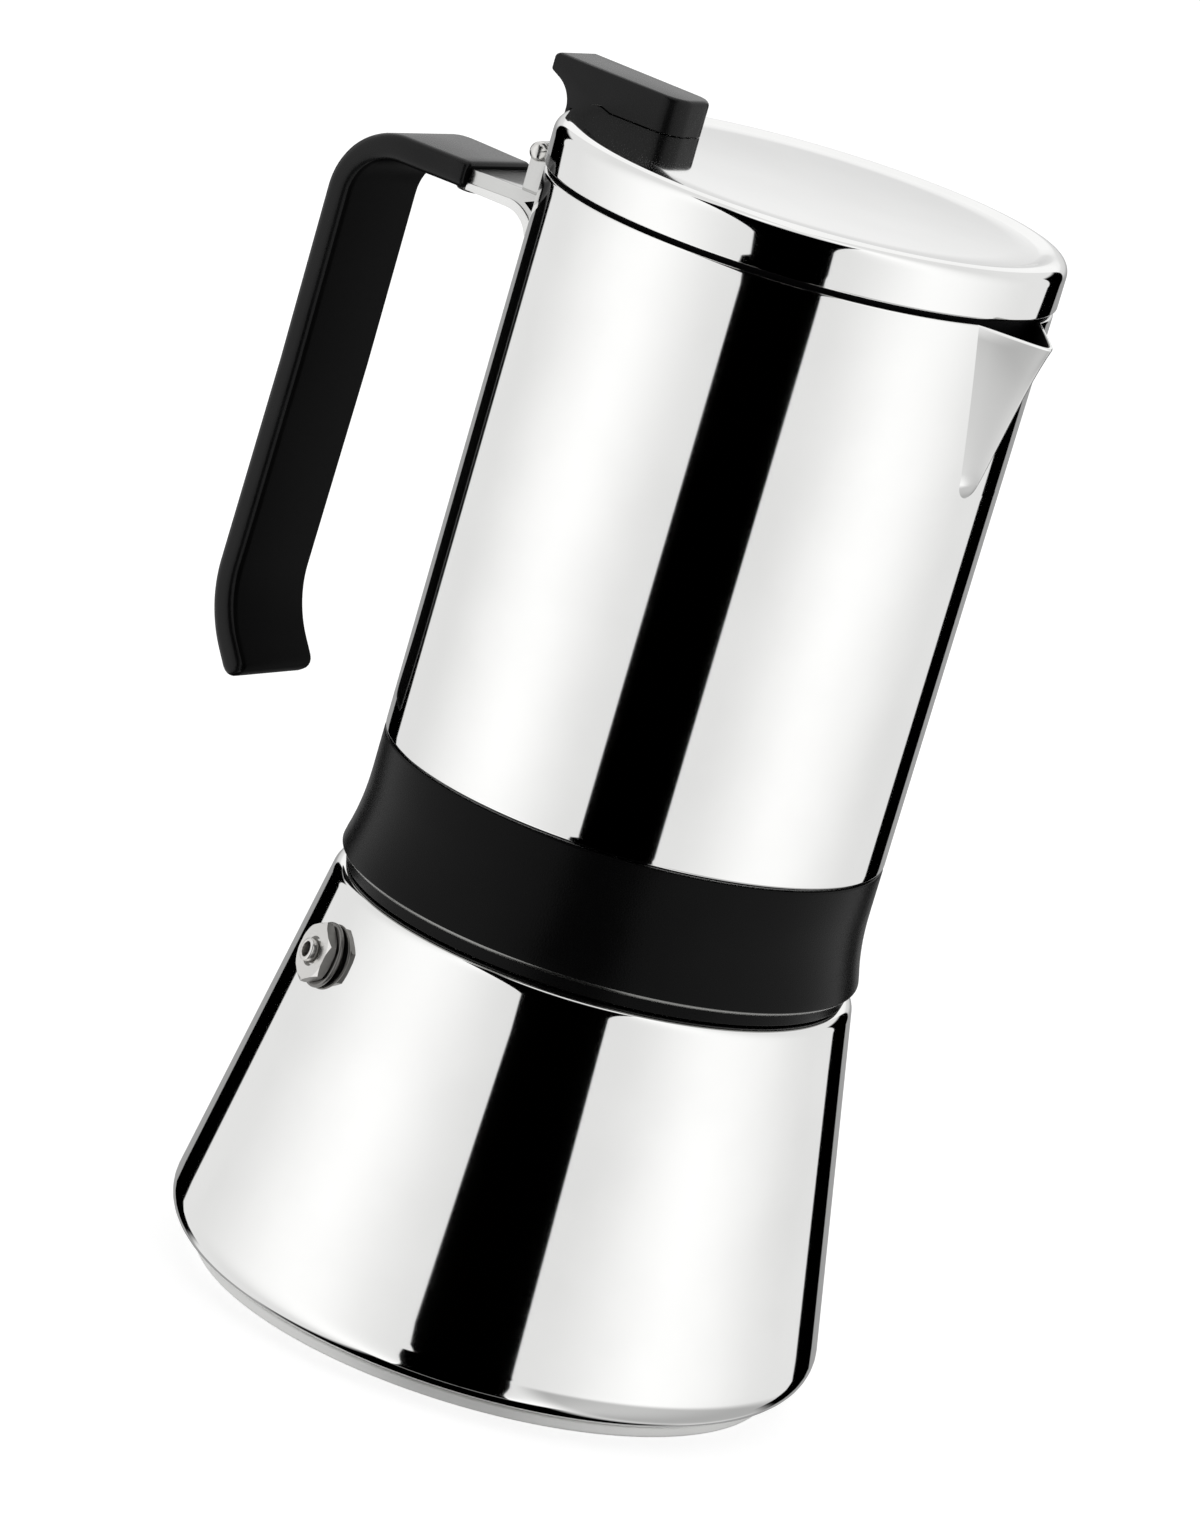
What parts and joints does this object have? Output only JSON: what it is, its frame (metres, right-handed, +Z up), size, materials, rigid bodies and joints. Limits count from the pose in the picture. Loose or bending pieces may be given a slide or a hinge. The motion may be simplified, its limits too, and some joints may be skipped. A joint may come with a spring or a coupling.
{
  "type": "moka pot",
  "caption": "Stovetop moka pot in polished steel with a flared boiler, funnel, screw-on collector with V spout, strap handle and hinged lid with knob.",
  "frame": {"origin": "centre of the base disc's underside", "axes": "+Z up along the pot's axis, +X towards the spout, -X towards the handle"},
  "size_m": [0.1509, 0.1202, 0.2201],
  "materials": {
    "polished_steel": "mirror polished",
    "brushed_steel": "satin",
    "black_plastic": "satin black",
    "silicone": "matt"
  },
  "bodies": {
    "boiler": {"base_disc": "brushed_steel", "boiler_shell": "polished_steel", "boiler_thread_ring": "brushed_steel", "valve_washer": "brushed_steel", "valve_body": "brushed_steel", "valve_nut": "brushed_steel", "valve_spring": "brushed_steel"},
    "valve_piston": {"valve_pin": "brushed_steel"},
    "funnel": {"funnel_basket": "polished_steel", "funnel_plate": "brushed_steel", "funnel_tube": "polished_steel"},
    "seal": {"gasket": "silicone"},
    "filter": {"filter_plate": "brushed_steel"},
    "collector": {"collector_shell": "polished_steel", "collector_collar": "brushed_steel", "trim_band": "black_plastic", "column_tube": "polished_steel", "column_cap": "polished_steel", "handle_bracket": "brushed_steel", "handle_grip": "black_plastic", "handle_screw": "brushed_steel", "hinge_pin": "polished_steel"},
    "lid": {"lid_shell": "polished_steel", "lid_liner": "polished_steel", "lid_hinge_leaf": "brushed_steel", "lid_knob": "black_plastic", "knob_screw": "brushed_steel"}
  },
  "joints": [
    {"name": "valve_pin_slide", "type": "slide", "parent": "boiler", "child": "valve_piston", "axis": [-0.506, -0.8421, 0.1867], "range_m": [0, 0.0015], "stiffness_N_per_m": 400, "deforming": ["valve_spring"]},
    {"name": "funnel_lift", "type": "slide", "parent": "boiler", "child": "funnel", "axis": [0, 0, 1], "range_m": [0, 0.085]},
    {"name": "collector_lift_off", "type": "slide", "parent": "funnel", "child": "seal", "axis": [0, 0, 1], "range_m": [0, 0.08]},
    {"name": "collector_rise", "type": "slide", "parent": "seal", "child": "filter", "axis": [0, 0, 1], "range_m": [0, 0.008]},
    {"name": "collector_unscrew", "type": "hinge", "parent": "filter", "child": "collector", "pos_m": [0, 0, 0.1], "axis": [0, 0, 1], "range_deg": [0, 720]},
    {"name": "lid_hinge", "type": "hinge", "parent": "collector", "child": "lid", "pos_m": [-0.0514, 0, 0.2025], "axis": [0, -1, 0], "range_deg": [0, 97]}
  ],
  "couplings": [
    {"joint": "collector_rise", "follows": "collector_unscrew", "m_per_rad": 0.00063662}
  ]
}
